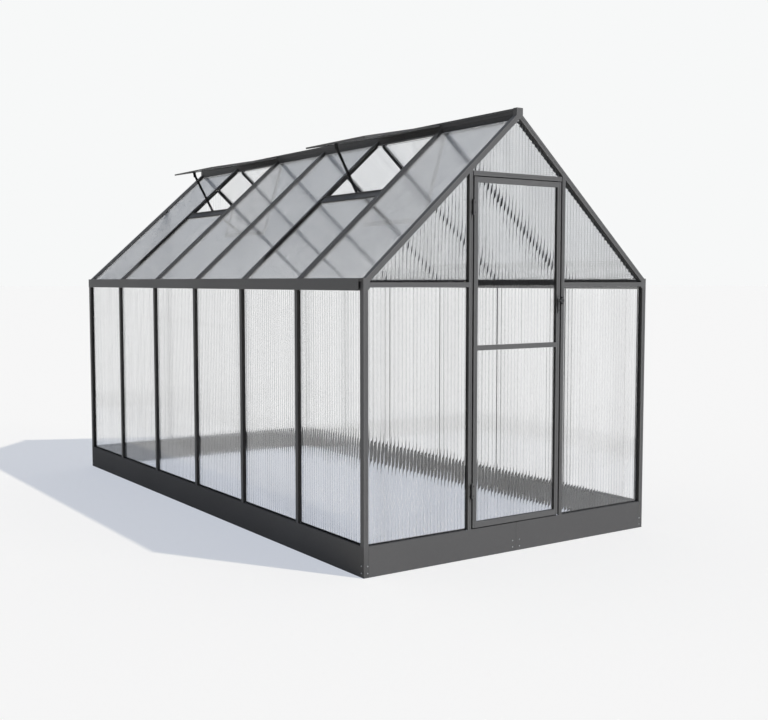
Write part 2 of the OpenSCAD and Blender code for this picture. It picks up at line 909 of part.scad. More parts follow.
base_front();
base_back();
base_left();
base_right();
base_joiners();
bottom_rails();
corner_post_front_left();
corner_post_front_right();
corner_post_back_left();
corner_post_back_right();
eave_brackets();
gutter_left();
gutter_right();
ridge_beam();
ridge_caps();
rafter_front_left();
rafter_front_right();
rafter_back_left();
rafter_back_right();
front_cross_bars();
back_cross_bars();
door_post_left();
door_post_right();
door_stops();
back_studs();
left_wall_bars();
right_wall_bars();
left_roof_bars();
right_roof_bars();
left_wall_sheets();
right_wall_sheets();
left_roof_sheets();
right_roof_sheets();
front_sheets();
back_sheets();
window_sills();
window_frames();
window_sheets();
window_stays();
door_stiles();
door_rails();
door_sheets();
door_hinge_leaves();
post_hinge_leaves();
door_latch();
latch_keeper();
door_handle();
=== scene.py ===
import math
import random

import bmesh
import bpy
from bpy.props import FloatProperty, FloatVectorProperty, PointerProperty
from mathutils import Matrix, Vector
from mathutils.geometry import convex_hull_2d


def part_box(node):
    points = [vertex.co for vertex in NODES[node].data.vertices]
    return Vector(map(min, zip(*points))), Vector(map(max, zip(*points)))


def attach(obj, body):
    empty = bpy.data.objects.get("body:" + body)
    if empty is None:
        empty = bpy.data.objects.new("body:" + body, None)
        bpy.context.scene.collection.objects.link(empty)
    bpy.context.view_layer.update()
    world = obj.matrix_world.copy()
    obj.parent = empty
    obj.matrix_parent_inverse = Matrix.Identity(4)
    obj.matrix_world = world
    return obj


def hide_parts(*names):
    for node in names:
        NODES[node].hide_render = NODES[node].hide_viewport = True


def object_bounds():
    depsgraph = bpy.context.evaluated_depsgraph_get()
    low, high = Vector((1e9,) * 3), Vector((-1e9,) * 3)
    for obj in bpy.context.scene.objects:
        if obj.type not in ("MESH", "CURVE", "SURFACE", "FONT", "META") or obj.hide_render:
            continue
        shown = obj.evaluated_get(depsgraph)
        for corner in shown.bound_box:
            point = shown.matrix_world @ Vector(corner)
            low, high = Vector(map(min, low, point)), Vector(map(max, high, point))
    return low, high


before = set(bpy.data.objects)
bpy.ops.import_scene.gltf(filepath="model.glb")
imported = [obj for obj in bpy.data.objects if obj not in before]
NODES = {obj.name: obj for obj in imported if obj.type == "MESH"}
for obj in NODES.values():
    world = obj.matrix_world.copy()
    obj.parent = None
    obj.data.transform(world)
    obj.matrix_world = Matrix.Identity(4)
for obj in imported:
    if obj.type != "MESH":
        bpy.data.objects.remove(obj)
CAD_BOX = [list(corner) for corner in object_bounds()]

bl_info = {
    "name": "Polycarbonate Greenhouse",
    "version": (1, 0, 0),
    "blender": (4, 5, 0),
    "location": "3D View > Sidebar > Greenhouse",
    "description": "Finishes the greenhouse: twin-wall sheets, painted frame, fittings and stage",
    "category": "Object",
}

FRAME_NODES = (
    "corner_post_front_left",
    "corner_post_front_right",
    "corner_post_back_left",
    "corner_post_back_right",
    "eave_brackets",
    "gutter_left",
    "gutter_right",
    "ridge_beam",
    "ridge_caps",
    "rafter_front_left",
    "rafter_front_right",
    "rafter_back_left",
    "rafter_back_right",
    "front_cross_bars",
    "back_cross_bars",
    "door_post_left",
    "door_post_right",
    "door_stops",
    "back_studs",
    "left_wall_bars",
    "right_wall_bars",
    "left_roof_bars",
    "right_roof_bars",
    "window_sills",
    "window_frames",
    "door_stiles",
    "door_rails",
    "bottom_rails",
)
BASE_NODES = ("base_front", "base_back", "base_left", "base_right", "base_joiners")
FITTING_NODES = (
    "window_stays",
    "door_hinge_leaves",
    "post_hinge_leaves",
    "door_latch",
    "latch_keeper",
    "door_handle",
)
WALL_SHEETS = ("left_wall_sheets", "right_wall_sheets")
ROOF_SHEETS = ("left_roof_sheets", "right_roof_sheets")
GABLE_SHEETS = ("front_sheets", "back_sheets")

SEED = 7

# Noise patterns: waves per metre, detail, and roughness where it is not plain
CLOUDS = (2.3, 4.0)
MOTTLE = (60.0, 3.0)
FITTING_CLOUDS = (14.0, 3.0)
FITTING_SPECKLE = (220.0, 2.0)
TURNED_MARKS = (900.0, 2.0)
DRAWN_GRAIN = (8.0, 3.0, 0.6)
PEEL_DETAIL = 2.0

# Factors on a colour, darkest and lightest
CLOUD_TONE = (0.965, 1.035)
MOTTLE_TONE = (0.975, 1.025)
WORN_TONE = (0.85, 1.15)
PROUD_TONE = (0.9, 1.1)
# Painted shade: the ridge beam darker towards its bottom, darkest and lightest
RIDGE_PAINTED_SHADE = (0.35, 1.0)
# Painted shade on the left base board: darker towards the back, and darker towards the ground
BASE_LENGTH_SHADE = (1.0, 0.8)
BASE_HEIGHT_SHADE = (0.8, 1.05)
# Painted light: inner faces of the base made lighter by this factor
INSIDE_PAINTED_LIGHT = 2.8
INWARD_TURN = (-0.3, 0.0)

# Roughness and shine
FRAME_GLOSS = (0.5, 0.3)
BASE_GLOSS = (0.62, 0.12)
CLOUD_ROUGHNESS = 0.05
FITTING_ROUGHNESS = (0.42, 0.6)
PLATING_ROUGHNESS = (0.3, 0.5)
FITTING_SHINE = 0.35
PROUD_SHINE = 0.3

# Bumps: strength, depth in metres
PEEL_BUMP = (0.25, 0.0004)
FITTING_BUMP = (0.3, 0.0003)
PLATING_BUMP = (0.2, 0.0001)
FRAME_PEEL = 900.0
BASE_PEEL = 700.0

# Sheets: dullest, clearest, factor below a height, stretch of the grain
UPRIGHT_GRAIN = (1.0, 1.0, 0.08)
SLOPING_GRAIN = (0.08, 1.0, 0.08)
SHEET_LOOKS = {
    "wall_sheet": (0.985, 1.0, 1.0, UPRIGHT_GRAIN),
    "gable_sheet": (0.988, 1.021, 0.965, UPRIGHT_GRAIN),
    "roof_sheet": (1.01, 1.022, 1.0, SLOPING_GRAIN),
}
GRAIN_CONTRAST = (0.4, 0.6)
LOWER_TINT_HEIGHTS = (1.25, 1.45)

SCREW_HEIGHTS = (0.021, 0.054)
SEAM_SCREW = 0.023
CORNER_SCREW = 0.021
BASE_SCREW_RADIUS = 0.004
HINGE_LENGTH = 0.075
HINGE_SCREW_OFF = 0.024
HINGE_SCREW_IN = (0.005, 0.009)
HINGE_SCREW_RADIUS = 0.003
LEAF_THICKNESS = 0.0012
PLATE_THICKNESS = 0.003
PLATE_WIDTH = 0.018
PLATE_SCREW_IN = 0.008
PAINT_LINE = 0.0004


# ---------------------------------------------------------------- settings


class SheetSettings(bpy.types.PropertyGroup):
    """Sizes and colour of the twin-wall sheets."""

    flute_pitch: FloatProperty(
        name="Flute pitch",
        description="Distance from rib to rib across a sheet",
        default=0.021,
        min=0.006,
        max=0.06,
        subtype="DISTANCE",
        unit="LENGTH",
    )
    roof_pitch: FloatProperty(
        name="Roof flute pitch",
        description="Distance from rib to rib across a roof sheet",
        default=0.0105,
        min=0.006,
        max=0.06,
        subtype="DISTANCE",
        unit="LENGTH",
    )
    rib_width: FloatProperty(
        name="Rib width",
        description="Thickness of the rib between two flutes",
        default=0.0007,
        min=0.0003,
        max=0.004,
        subtype="DISTANCE",
        unit="LENGTH",
    )
    skin: FloatProperty(
        name="Skin thickness",
        description="Thickness of each skin in the middle of a flute",
        default=0.00045,
        min=0.0002,
        max=0.0012,
        subtype="DISTANCE",
        unit="LENGTH",
    )
    dish: FloatProperty(
        name="Dish of the skins",
        description="How much thicker a skin is at the rib than in the middle of a flute",
        default=0.00016,
        min=0.0,
        max=0.001,
        subtype="DISTANCE",
        unit="LENGTH",
    )
    end_wall: FloatProperty(
        name="Closed end",
        description="Length of the sealed end of each flute",
        default=0.0015,
        min=0.0005,
        max=0.01,
        subtype="DISTANCE",
        unit="LENGTH",
    )
    colour: FloatVectorProperty(
        name="Sheet colour",
        description="Tint of the clear polycarbonate",
        default=(0.978, 0.98, 0.981),
        size=3,
        min=0.0,
        max=1.0,
        subtype="COLOR",
    )
    ior: FloatProperty(
        name="Index of refraction",
        description="How much the polycarbonate bends light",
        default=1.5,
        min=1.0,
        max=2.0,
    )


class FrameSettings(bpy.types.PropertyGroup):
    """Colours of the painted metal and of the fittings."""

    frame_colour: FloatVectorProperty(
        name="Frame colour",
        description="Powder coat of the aluminium frame",
        default=(0.125, 0.128, 0.135),
        size=3,
        min=0.0,
        max=1.0,
        subtype="COLOR",
    )
    base_colour: FloatVectorProperty(
        name="Base colour",
        description="Paint of the steel base boards",
        default=(0.128, 0.13, 0.137),
        size=3,
        min=0.0,
        max=1.0,
        subtype="COLOR",
    )
    fitting_colour: FloatVectorProperty(
        name="Fitting colour",
        description="Black plastic and steel of hinges, stays, latch and handle",
        default=(0.03, 0.031, 0.034),
        size=3,
        min=0.0,
        max=1.0,
        subtype="COLOR",
    )
    screw_colour: FloatVectorProperty(
        name="Screw colour",
        description="Zinc plating of the screw heads",
        default=(0.42, 0.43, 0.45),
        size=3,
        min=0.0,
        max=1.0,
        subtype="COLOR",
    )


class StageSettings(bpy.types.PropertyGroup):
    """Floor, lamps and camera."""

    sun_strength: FloatProperty(
        name="Sun strength",
        description="Strength of the main lamp",
        default=2.3,
        min=0.0,
        max=20.0,
    )
    fill_strength: FloatProperty(
        name="Fill strength",
        description="Strength of the level lamp that lights the door end",
        default=1.5,
        min=0.0,
        max=20.0,
    )
    fill_size: FloatProperty(
        name="Fill size",
        description="Angular size of the level lamp",
        default=math.radians(25),
        min=0.0,
        max=math.radians(90),
        subtype="ANGLE",
        unit="ROTATION",
    )
    sun_size: FloatProperty(
        name="Sun size",
        description="Angular size of the main lamp, which softens the shadow",
        default=math.radians(1.2),
        min=0.0,
        max=math.radians(30.0),
        subtype="ANGLE",
        unit="ROTATION",
    )
    sky_colour: FloatVectorProperty(
        name="Sky colour",
        description="Light of the surroundings on the object",
        default=(0.37, 0.39, 0.43),
        size=3,
        min=0.0,
        max=2.0,
        subtype="COLOR",
    )
    floor_colour: FloatVectorProperty(
        name="Floor colour",
        description="Diffuse colour of the floor",
        default=(0.56, 0.51, 0.41),
        size=3,
        min=0.0,
        max=1.0,
        subtype="COLOR",
    )
    floor_lift: FloatVectorProperty(
        name="Floor lift",
        description="Pale tone added to the floor where it is looked at",
        default=(0.46, 0.495, 0.57),
        size=3,
        min=0.0,
        max=1.0,
        subtype="COLOR",
    )


# ---------------------------------------------------------------- materials


def set_plain(shader, **values):
    """Sets sockets of a shader, named with underscores for spaces."""
    for name, value in values.items():
        socket = shader.inputs[name.replace("_", " ")]
        if hasattr(socket.default_value, "__len__") and len(value) == 3:
            value = (*value, 1.0)
        socket.default_value = value


def new_material(name):
    """An empty node material and its Principled shader, joined to the output."""
    material = bpy.data.materials.new(name)
    material.use_nodes = True
    tree = material.node_tree
    tree.nodes.clear()
    output = tree.nodes.new("ShaderNodeOutputMaterial")
    shader = tree.nodes.new("ShaderNodeBsdfPrincipled")
    tree.links.new(shader.outputs["BSDF"], output.inputs["Surface"])
    return material, tree, shader


def object_place(tree, scale=(1.0, 1.0, 1.0)):
    """Object coordinates, stretched by scale."""
    place = tree.nodes.new("ShaderNodeTexCoord")
    mapping = tree.nodes.new("ShaderNodeMapping")
    mapping.inputs["Scale"].default_value = scale
    tree.links.new(place.outputs["Object"], mapping.inputs["Vector"])
    return mapping.outputs["Vector"]


def noise(tree, place, scale, detail=3.0, roughness=0.5):
    """A noise pattern, as a factor."""
    node = tree.nodes.new("ShaderNodeTexNoise")
    node.inputs["Scale"].default_value = scale
    node.inputs["Detail"].default_value = detail
    node.inputs["Roughness"].default_value = roughness
    tree.links.new(place, node.inputs["Vector"])
    return node.outputs["Fac"]


def spread(tree, factor, low, high, start=0.25, end=0.75):
    """The factor between start and end, spread from low to high."""
    node = tree.nodes.new("ShaderNodeMapRange")
    node.inputs["From Min"].default_value = start
    node.inputs["From Max"].default_value = end
    node.inputs["To Min"].default_value = low
    node.inputs["To Max"].default_value = high
    tree.links.new(factor, node.inputs["Value"])
    return node.outputs["Result"]


def shade_of(tree, colour, *factors):
    """A colour made lighter or darker by one or more factors."""
    for factor in factors:
        node = tree.nodes.new("ShaderNodeVectorMath")
        node.operation = "SCALE"
        if isinstance(colour, bpy.types.NodeSocket):
            tree.links.new(colour, node.inputs[0])
        else:
            node.inputs[0].default_value = colour
        tree.links.new(factor, node.inputs["Scale"])
        colour = node.outputs["Vector"]
    return colour


def maths(tree, operation, first, second):
    """Joins two factors, or a factor and a number."""
    node = tree.nodes.new("ShaderNodeMath")
    node.operation = operation
    for socket, value in zip(node.inputs, (first, second)):
        if isinstance(value, (int, float)):
            socket.default_value = value
        else:
            tree.links.new(value, socket)
    return node.outputs[0]


def blend(tree, factor, first, second):
    """A colour between two colours."""
    node = tree.nodes.new("ShaderNodeMix")
    node.data_type = "RGBA"
    tree.links.new(factor, node.inputs["Factor"])
    for name, value in (("A", first), ("B", second)):
        socket = next(
            i for i in node.inputs if i.name == name and i.type == "RGBA"
        )
        if isinstance(value, tuple):
            socket.default_value = (*value, 1.0)
        else:
            tree.links.new(value, socket)
    return next(o for o in node.outputs if o.type == "RGBA")


def bump(tree, shader, height, strength, distance):
    """Feeds a height pattern to the shader's normal."""
    node = tree.nodes.new("ShaderNodeBump")
    node.inputs["Strength"].default_value = strength
    node.inputs["Distance"].default_value = distance
    tree.links.new(height, node.inputs["Height"])
    tree.links.new(node.outputs["Normal"], shader.inputs["Normal"])


def along(tree, axis, start, end, low, high):
    """A factor that goes from low to high between two places on one axis."""
    split = tree.nodes.new("ShaderNodeSeparateXYZ")
    tree.links.new(object_place(tree), split.inputs["Vector"])
    return spread(tree, split.outputs[axis], low, high, start, end)


def inward(tree, low, high):
    """A factor that is high on faces that look at the middle of the house."""
    face = tree.nodes.new("ShaderNodeNewGeometry")
    product = tree.nodes.new("ShaderNodeVectorMath")
    product.operation = "DOT_PRODUCT"
    tree.links.new(face.outputs["Normal"], product.inputs[0])
    tree.links.new(face.outputs["Position"], product.inputs[1])
    return spread(tree, product.outputs["Value"], high, low, *INWARD_TURN)


def powder_coat(name, colour, gloss, peel_scale, *painted_shades, inside_light=None):
    """Baked powder coat: fine orange peel, slight clouds of tone, painted shade that darkens it
    along an axis, and painted light on faces that look inward.
    """
    material, tree, shader = new_material(name)
    place = object_place(tree)
    rough, specular = gloss
    factors = [along(tree, *painted_shade) for painted_shade in painted_shades]
    # Faces that look inward are made lighter: painted light
    if inside_light:
        factors.append(inward(tree, 1.0, inside_light))
    clouds = noise(tree, place, *CLOUDS)
    mottle = noise(tree, place, *MOTTLE)
    peel = noise(tree, place, peel_scale, PEEL_DETAIL)
    tone = shade_of(
        tree,
        colour,
        spread(tree, clouds, *CLOUD_TONE),
        spread(tree, mottle, *MOTTLE_TONE),
        *factors,
    )
    roughness = spread(tree, clouds, rough - CLOUD_ROUGHNESS, rough + CLOUD_ROUGHNESS)
    tree.links.new(tone, shader.inputs["Base Color"])
    tree.links.new(roughness, shader.inputs["Roughness"])
    set_plain(shader, Specular_IOR_Level=specular)
    bump(tree, shader, peel, *PEEL_BUMP)
    return material


def black_fitting(name, colour):
    """Moulded black plastic or blackened steel."""
    material, tree, shader = new_material(name)
    place = object_place(tree)
    speckle = noise(tree, place, *FITTING_SPECKLE)
    clouds = noise(tree, place, *FITTING_CLOUDS)
    tone = shade_of(tree, colour, spread(tree, clouds, *WORN_TONE))
    tree.links.new(tone, shader.inputs["Base Color"])
    tree.links.new(spread(tree, speckle, *FITTING_ROUGHNESS), shader.inputs["Roughness"])
    set_plain(shader, Specular_IOR_Level=FITTING_SHINE)
    bump(tree, shader, speckle, *FITTING_BUMP)
    return material


def proud_black(name, plain, black, face, depth):
    """Paint as on the frame, and black where the piece stands proud of its leaf."""
    material, tree, shader = new_material(name)
    speckle = noise(tree, object_place(tree), *FITTING_SPECKLE)
    leaf = face - depth
    proud = along(tree, "Y", leaf - PAINT_LINE, leaf, 1.0, 0.0)
    paint = blend(tree, proud, plain, black)
    tone = shade_of(tree, paint, spread(tree, speckle, *PROUD_TONE))
    tree.links.new(tone, shader.inputs["Base Color"])
    tree.links.new(spread(tree, speckle, *FITTING_ROUGHNESS), shader.inputs["Roughness"])
    set_plain(shader, Specular_IOR_Level=PROUD_SHINE)
    bump(tree, shader, speckle, *FITTING_BUMP)
    return material


def zinc(name, colour):
    """Zinc-plated steel with fine turned marks."""
    material, tree, shader = new_material(name)
    marks = noise(tree, object_place(tree), *TURNED_MARKS)
    tone = shade_of(tree, colour, spread(tree, marks, *WORN_TONE))
    tree.links.new(tone, shader.inputs["Base Color"])
    tree.links.new(spread(tree, marks, *PLATING_ROUGHNESS), shader.inputs["Roughness"])
    set_plain(shader, Metallic=1.0)
    bump(tree, shader, marks, *PLATING_BUMP)
    return material


def clear_sheet(name, colour, ior, dull, clear, lower_factor, grain):
    """Clear polycarbonate with a faint grain along the flutes, duller low down."""
    material, tree, shader = new_material(name)
    drawn = noise(tree, object_place(tree, grain), *DRAWN_GRAIN)
    tone = shade_of(
        tree,
        colour,
        spread(tree, drawn, dull, clear, *GRAIN_CONTRAST),
        along(tree, "Z", *LOWER_TINT_HEIGHTS, lower_factor, 1.0),
    )
    tree.links.new(tone, shader.inputs["Base Color"])
    set_plain(shader, Transmission_Weight=1.0, IOR=ior, Roughness=0.0)
    return material


def finish_with(obj, material):
    """Puts one material on every slot of a piece."""
    if not obj.data.materials:
        obj.data.materials.append(material)
    for slot in obj.material_slots:
        slot.material = material


# ---------------------------------------------------------------- sheets

SAME_PLACE = 1e-6
LEAST_SIDE = 1e-5
TINY = 1e-9


def loose_parts(mesh):
    """The corner points and faces of each separate solid in a mesh."""
    parent = list(range(len(mesh.vertices)))

    def root(i):
        while parent[i] != i:
            parent[i] = parent[parent[i]]
            i = parent[i]
        return i

    for edge in mesh.edges:
        a, b = (root(i) for i in edge.vertices)
        if a != b:
            parent[b] = a
    parts = {}
    for polygon in mesh.polygons:
        parts.setdefault(root(polygon.vertices[0]), []).append(polygon)
    return parts.values()


def merged_copy(obj):
    """A copy of a node's mesh with its doubled corners joined."""
    work = bmesh.new()
    work.from_mesh(obj.data)
    bmesh.ops.remove_doubles(work, verts=work.verts, dist=SAME_PLACE)
    mesh = bpy.data.meshes.new("sheet_outline")
    work.to_mesh(mesh)
    work.free()
    return mesh


class SheetPlan:
    """The flat outline of one sheet, with its own across, flute and face directions."""

    def __init__(self, mesh, polygons):
        widest = max(polygons, key=lambda p: p.area)
        self.face = widest.normal.copy()
        up = Vector((0, 0, 1))
        self.flute = (up - self.face * up.dot(self.face)).normalized()
        self.across = self.flute.cross(self.face)
        points = [mesh.vertices[i].co for p in polygons for i in p.vertices]
        depths = [p.dot(self.face) for p in points]
        self.back, self.front = min(depths), max(depths)
        flat = [(p.dot(self.across), p.dot(self.flute)) for p in points]
        hull = [flat[i] for i in convex_hull_2d(flat)]
        self.outline = [
            p for i, p in enumerate(hull) if math.dist(p, hull[i - 1]) > LEAST_SIDE
        ]
        self.left = min(p[0] for p in self.outline)
        self.right = max(p[0] for p in self.outline)

    def point(self, u, v, depth):
        """The place that lies across, along the flutes and at a depth of the sheet."""
        return self.across * u + self.flute * v + self.face * depth

    def ends(self, u):
        """Lowest and highest place along the flutes at a distance across."""
        cuts = []
        for (u0, v0), (u1, v1) in zip(
            self.outline, self.outline[1:] + self.outline[:1]
        ):
            if min(u0, u1) - TINY <= u <= max(u0, u1) + TINY:
                if abs(u1 - u0) < TINY:
                    cuts += [v0, v1]
                else:
                    cuts.append(v0 + (v1 - v0) * (u - u0) / (u1 - u0))
        return min(cuts), max(cuts)


def joined_rings(start, count):
    """The quads between two rings of points that follow each other in a list."""
    quads = []
    for i in range(count):
        a = start + i
        b = start + (i + 1) % count
        quads.append([a, b, b + count, a + count])
    return quads


def ring_cap(start, count, turned=False):
    """One face over a ring of points."""
    face = list(range(start, start + count))
    return face[::-1] if turned else face


def add_skin(points, faces, plan):
    """The outside of a sheet."""
    start = len(points)
    count = len(plan.outline)
    points += [plan.point(u, v, plan.back) for u, v in plan.outline]
    points += [plan.point(u, v, plan.front) for u, v in plan.outline]
    area = sum(
        a[0] * b[1] - b[0] * a[1]
        for a, b in zip(plan.outline, plan.outline[1:] + plan.outline[:1])
    )
    caps = [ring_cap(start + count, count), ring_cap(start, count, turned=True)]
    made = caps + joined_rings(start, count)
    if area < 0:
        made = [face[::-1] for face in made]
    faces += made


FLUTE_STEPS = 8
DISH_POWER = 4
DISH_VARIES = (0.6, 1.5)
LEAST_FLUTE = 0.006
SHEET_SHARP = math.radians(20)


def add_flute(points, faces, plan, left, right, sheets, dish):
    """The hollow of one flute: two dished walls between two ribs."""
    middle = (plan.front + plan.back) / 2
    deepest = (plan.front - plan.back) / 2 - sheets.skin
    across = [left + (right - left) * i / FLUTE_STEPS for i in range(FLUTE_STEPS + 1)]
    ends = [plan.ends(u) for u in across]
    if min(high - low for low, high in ends) < LEAST_FLUTE:
        return
    heights = [
        deepest - dish * (2 * i / FLUTE_STEPS - 1) ** DISH_POWER
        for i in range(FLUTE_STEPS + 1)
    ]
    ring = [(u, e, middle + h) for u, e, h in zip(across, ends, heights)]
    ring += [
        (u, e, middle - h) for u, e, h in reversed(list(zip(across, ends, heights)))
    ]
    start = len(points)
    count = len(ring)
    points += [plan.point(u, low + sheets.end_wall, d) for u, (low, _), d in ring]
    points += [plan.point(u, high - sheets.end_wall, d) for u, (_, high), d in ring]
    made = joined_rings(start, count)
    made += [ring_cap(start, count, turned=True), ring_cap(start + count, count)]
    if plan.across.cross(plan.flute).dot(plan.face) <= 0:
        made = [face[::-1] for face in made]
    faces += made


def mesh_piece(name, points, faces, sharp_from, material, body):
    """A smooth piece that keeps edges sharper than an angle, on its body."""
    mesh = bpy.data.meshes.new(name)
    mesh.from_pydata([tuple(p) for p in points], [], faces)
    mesh.update()
    for polygon in mesh.polygons:
        polygon.use_smooth = True
    mesh.set_sharp_from_angle(angle=sharp_from)
    piece = bpy.data.objects.new(name, mesh)
    bpy.context.scene.collection.objects.link(piece)
    finish_with(piece, material)
    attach(piece, body)
    return piece


def fluted_sheets(node, material, body, sheets, usual_pitch, dice):
    """One piece with all the twin-wall sheets of a node."""
    outline_mesh = merged_copy(NODES[node])
    points = []
    faces = []
    for polygons in loose_parts(outline_mesh):
        plan = SheetPlan(outline_mesh, polygons)
        add_skin(points, faces, plan)
        span = plan.right - plan.left - sheets.rib_width
        count = max(1, round(span / usual_pitch))
        pitch = span / count
        for i in range(count):
            left = plan.left + sheets.rib_width + i * pitch
            right = left + pitch - sheets.rib_width
            dish = sheets.dish * dice.uniform(*DISH_VARIES)
            add_flute(points, faces, plan, left, right, sheets, dish)
    bpy.data.meshes.remove(outline_mesh)
    name = node + "_fluted"
    piece = mesh_piece(name, points, faces, SHEET_SHARP, material, body)
    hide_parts(node)


# ---------------------------------------------------------------- screws

HEAD_STEPS = 12
HEAD_HEIGHT = 0.002
HEAD_RINGS = ((1.0, 0.0), (0.96, 0.45), (0.78, 0.85), (0.5, 1.0), (0.45, 0.5))
HEAD_SHARP = math.radians(40)


def add_head(points, faces, place, towards, radius):
    """A domed screw head with a recess, standing on a face."""
    side = towards.orthogonal().normalized()
    up = towards.cross(side)
    start = len(points)
    for wide, high in HEAD_RINGS:
        for i in range(HEAD_STEPS):
            turn = math.tau * i / HEAD_STEPS
            spoke = side * math.cos(turn) + up * math.sin(turn)
            points.append(place + spoke * radius * wide + towards * HEAD_HEIGHT * high)
    for ring in range(len(HEAD_RINGS) - 1):
        faces += joined_rings(start + ring * HEAD_STEPS, HEAD_STEPS)
    last = start + (len(HEAD_RINGS) - 1) * HEAD_STEPS
    faces.append(ring_cap(last, HEAD_STEPS))
    faces.append(ring_cap(start, HEAD_STEPS, turned=True))


def screws(name, heads, radius, material, body):
    """One piece with a head at each (place, direction)."""
    points = []
    faces = []
    for place, towards in heads:
        add_head(points, faces, Vector(place), Vector(towards), radius)
    mesh_piece(name, points, faces, HEAD_SHARP, material, body)


# ---------------------------------------------------------------- operators


def sheet_material(name):
    """The sheet material of that name, made once."""
    sheets = bpy.context.scene.greenhouse_sheets
    return bpy.data.materials.get(name) or clear_sheet(
        name, sheets.colour, sheets.ior, *SHEET_LOOKS[name]
    )


class GREENHOUSE_OT_frame_finish(bpy.types.Operator):
    """Paints the aluminium frame"""

    bl_idname = "greenhouse.frame_finish"
    bl_label = "Paint the frame"

    def execute(self, context):
        finish = context.scene.greenhouse_frame
        look = (finish.frame_colour, FRAME_GLOSS, FRAME_PEEL)
        paint = powder_coat("frame_paint", *look)
        for name in FRAME_NODES:
            finish_with(NODES[name], paint)
        # The ridge beam gets painted shade, darker towards its bottom edge
        low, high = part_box("ridge_beam")
        painted_shade = ("Z", low.z, high.z, *RIDGE_PAINTED_SHADE)
        finish_with(NODES["ridge_beam"], powder_coat("ridge_paint", *look, painted_shade))
        return {"FINISHED"}


class GREENHOUSE_OT_base_finish(bpy.types.Operator):
    """Paints the steel base boards"""

    bl_idname = "greenhouse.base_finish"
    bl_label = "Paint the base"

    def execute(self, context):
        finish = context.scene.greenhouse_frame
        look = (finish.base_colour, BASE_GLOSS, BASE_PEEL)
        # The base's inner faces get painted light, lighter than its outer faces
        paint = powder_coat("base_paint", *look, inside_light=INSIDE_PAINTED_LIGHT)
        for name in BASE_NODES:
            finish_with(NODES[name], paint)
        # The left base board gets painted shade: darker towards the back and towards the ground
        low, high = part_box("base_left")
        length_shade = ("Y", low.y, 0.0, *BASE_LENGTH_SHADE)
        height_shade = ("Z", low.z, high.z, *BASE_HEIGHT_SHADE)
        shaded_side_paint = powder_coat(
            "side_base_paint", *look, length_shade, height_shade, inside_light=INSIDE_PAINTED_LIGHT
        )
        finish_with(NODES["base_left"], shaded_side_paint)
        return {"FINISHED"}


class GREENHOUSE_OT_base_screws(bpy.types.Operator):
    """Makes the screws beside the seams and corners of the base"""

    bl_idname = "greenhouse.base_screws"
    bl_label = "Base screws"

    def execute(self, context):
        low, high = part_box("base_left")
        right = -low.x
        heads = []
        for z in SCREW_HEIGHTS:
            for across in (-1, 1):
                for x in (SEAM_SCREW, right - CORNER_SCREW):
                    heads.append(((across * x, low.y, z), (0, -1, 0)))
                for y in (low.y + CORNER_SCREW, high.y - CORNER_SCREW):
                    heads.append(((across * right, y, z), (across, 0, 0)))
        plating = zinc("zinc_plating", context.scene.greenhouse_frame.screw_colour)
        screws("base_screws", heads, BASE_SCREW_RADIUS, plating, "house")
        return {"FINISHED"}


class GREENHOUSE_OT_hinge_screws(bpy.types.Operator):
    """Makes the screws of the hinges and of the latch plate"""

    bl_idname = "greenhouse.hinge_screws"
    bl_label = "Hinge and latch screws"

    def execute(self, context):
        finish = context.scene.greenhouse_frame
        black = black_fitting("screw_black", finish.fitting_colour)
        for node, body, side in (
            ("door_hinge_leaves", "door", 1),
            ("post_hinge_leaves", "house", 0),
        ):
            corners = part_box(node)
            inset = HINGE_SCREW_IN[side]
            x = corners[side].x + (-inset if side else inset)
            heads = []
            y = corners[1].y - LEAF_THICKNESS
            half = HINGE_LENGTH / 2
            for middle in (corners[0].z + half, corners[1].z - half):
                for off in (-HINGE_SCREW_OFF, HINGE_SCREW_OFF):
                    heads.append(((x, y, middle + off), (0, -1, 0)))
            screws(node + "_screws", heads, HINGE_SCREW_RADIUS, black, body)
        low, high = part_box("door_latch")
        x = low.x + PLATE_WIDTH / 2
        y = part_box("door_stiles")[0].y - PLATE_THICKNESS
        ends = (low.z + PLATE_SCREW_IN, high.z - PLATE_SCREW_IN)
        heads = [((x, y, z), (0, -1, 0)) for z in ends]
        screws("latch_screws", heads, HINGE_SCREW_RADIUS, black, "door")
        return {"FINISHED"}


class GREENHOUSE_OT_fittings(bpy.types.Operator):
    """Finishes the stays, hinges, latch and handle"""

    bl_idname = "greenhouse.fittings"
    bl_label = "Finish the fittings"

    def execute(self, context):
        finish = context.scene.greenhouse_frame
        black = black_fitting("black_fittings", finish.fitting_colour)
        for name in FITTING_NODES:
            finish_with(NODES[name], black)
        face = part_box("door_stiles")[0].y
        colours = (tuple(finish.frame_colour), tuple(finish.fitting_colour))
        hinge = proud_black("hinge_steel", *colours, face, LEAF_THICKNESS + PAINT_LINE)
        for name in ("door_hinge_leaves", "post_hinge_leaves"):
            finish_with(NODES[name], hinge)
        latch = proud_black("latch_steel", *colours, face, PLATE_THICKNESS + PAINT_LINE)
        finish_with(NODES["door_latch"], latch)
        return {"FINISHED"}


def sheet_group(nodes, material_name, body, pitch=None):
    """Makes the fluted sheets of a few nodes."""
    sheets = bpy.context.scene.greenhouse_sheets
    pitch = pitch or sheets.flute_pitch
    material = sheet_material(material_name)
    for node in nodes:
        dice = random.Random(SEED + sorted(NODES).index(node))
        fluted_sheets(node, material, body, sheets, pitch, dice)


class GREENHOUSE_OT_wall_sheets(bpy.types.Operator):
    """Makes the fluted sheets of the two long walls"""

    bl_idname = "greenhouse.wall_sheets"
    bl_label = "Wall sheets"

    def execute(self, context):
        sheet_group(WALL_SHEETS, "wall_sheet", "house")
        return {"FINISHED"}


